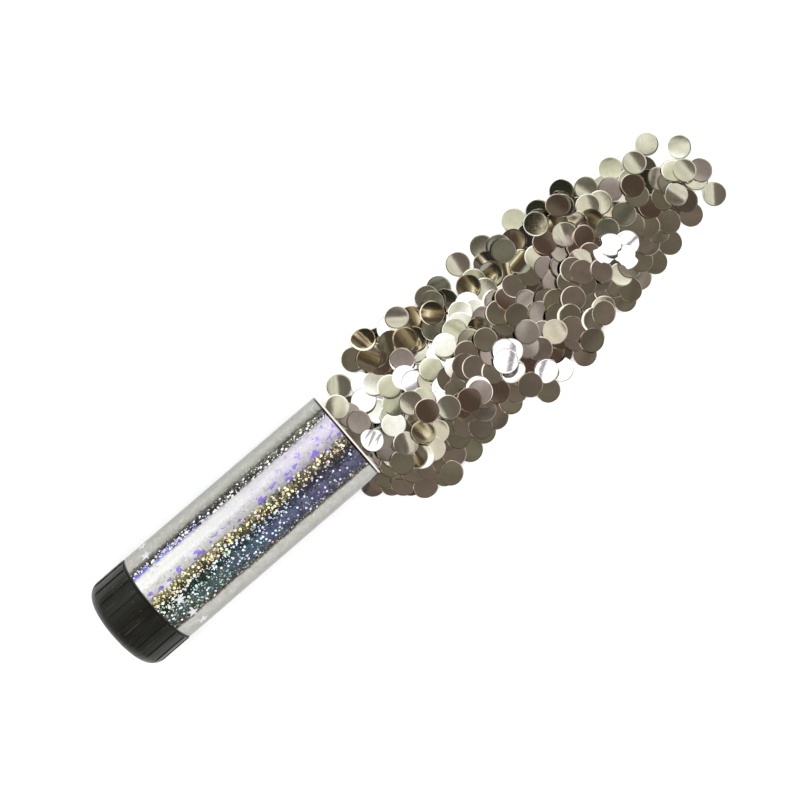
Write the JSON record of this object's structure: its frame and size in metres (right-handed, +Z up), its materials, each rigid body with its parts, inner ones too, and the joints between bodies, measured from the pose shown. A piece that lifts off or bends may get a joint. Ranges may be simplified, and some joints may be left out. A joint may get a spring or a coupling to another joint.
{
  "type": "confetti popper",
  "caption": "Handheld twist-base confetti popper with a glitter-foil paper tube and black ribbed base, shown fired with round silver foil discs spread in front of its open mouth.",
  "frame": {"origin": "on the table, under the middle of the box round the popper and its spread discs", "axes": "+X along the tube from base to mouth and on along the spread discs, +Z up, the table is z = 0"},
  "size_m": [0.2936, 0.0726, 0.0382],
  "materials": {
    "paperboard": "matte",
    "holographic_film": "polished",
    "black_plastic_inner": "satin",
    "black_plastic_grip": "satin",
    "grey_plastic": "satin",
    "zinc_steel": "satin",
    "spring_steel": "satin",
    "wad_card": "matte",
    "foil_disc": "polished"
  },
  "bodies": {
    "barrel": {"barrel_tube": "paperboard", "foil_wrap": "holographic_film", "latch_seat": "black_plastic_inner", "drive_spring": "spring_steel"},
    "base": {"twist_base": "black_plastic_grip", "latch_plate": "grey_plastic"},
    "ejector": {"ejector_post": "grey_plastic", "piston_cup": "grey_plastic", "post_screw": "zinc_steel", "piston_wad": "wad_card"},
    "confetti": {"confetti_bore": "foil_disc", "confetti_mouth": "foil_disc", "confetti_near": "foil_disc", "confetti_middle": "foil_disc", "confetti_far": "foil_disc", "confetti_tip": "foil_disc"}
  },
  "joints": [
    {"name": "base_twist", "type": "hinge", "parent": "barrel", "child": "base", "pos_m": [-0.1378, 0.00725, 0.0191], "axis": [1, 0, 0], "range_deg": [-90, 0]},
    {"name": "ejector_stroke", "type": "slide", "parent": "barrel", "child": "ejector", "axis": [1, 0, 0], "range_m": [-0.05, 0], "stiffness_N_per_m": 280, "deforming": ["drive_spring"]},
    {"name": "confetti_throw", "type": "slide", "parent": "barrel", "child": "confetti", "axis": [1, 0, 0], "range_m": [0, 0.15]}
  ]
}
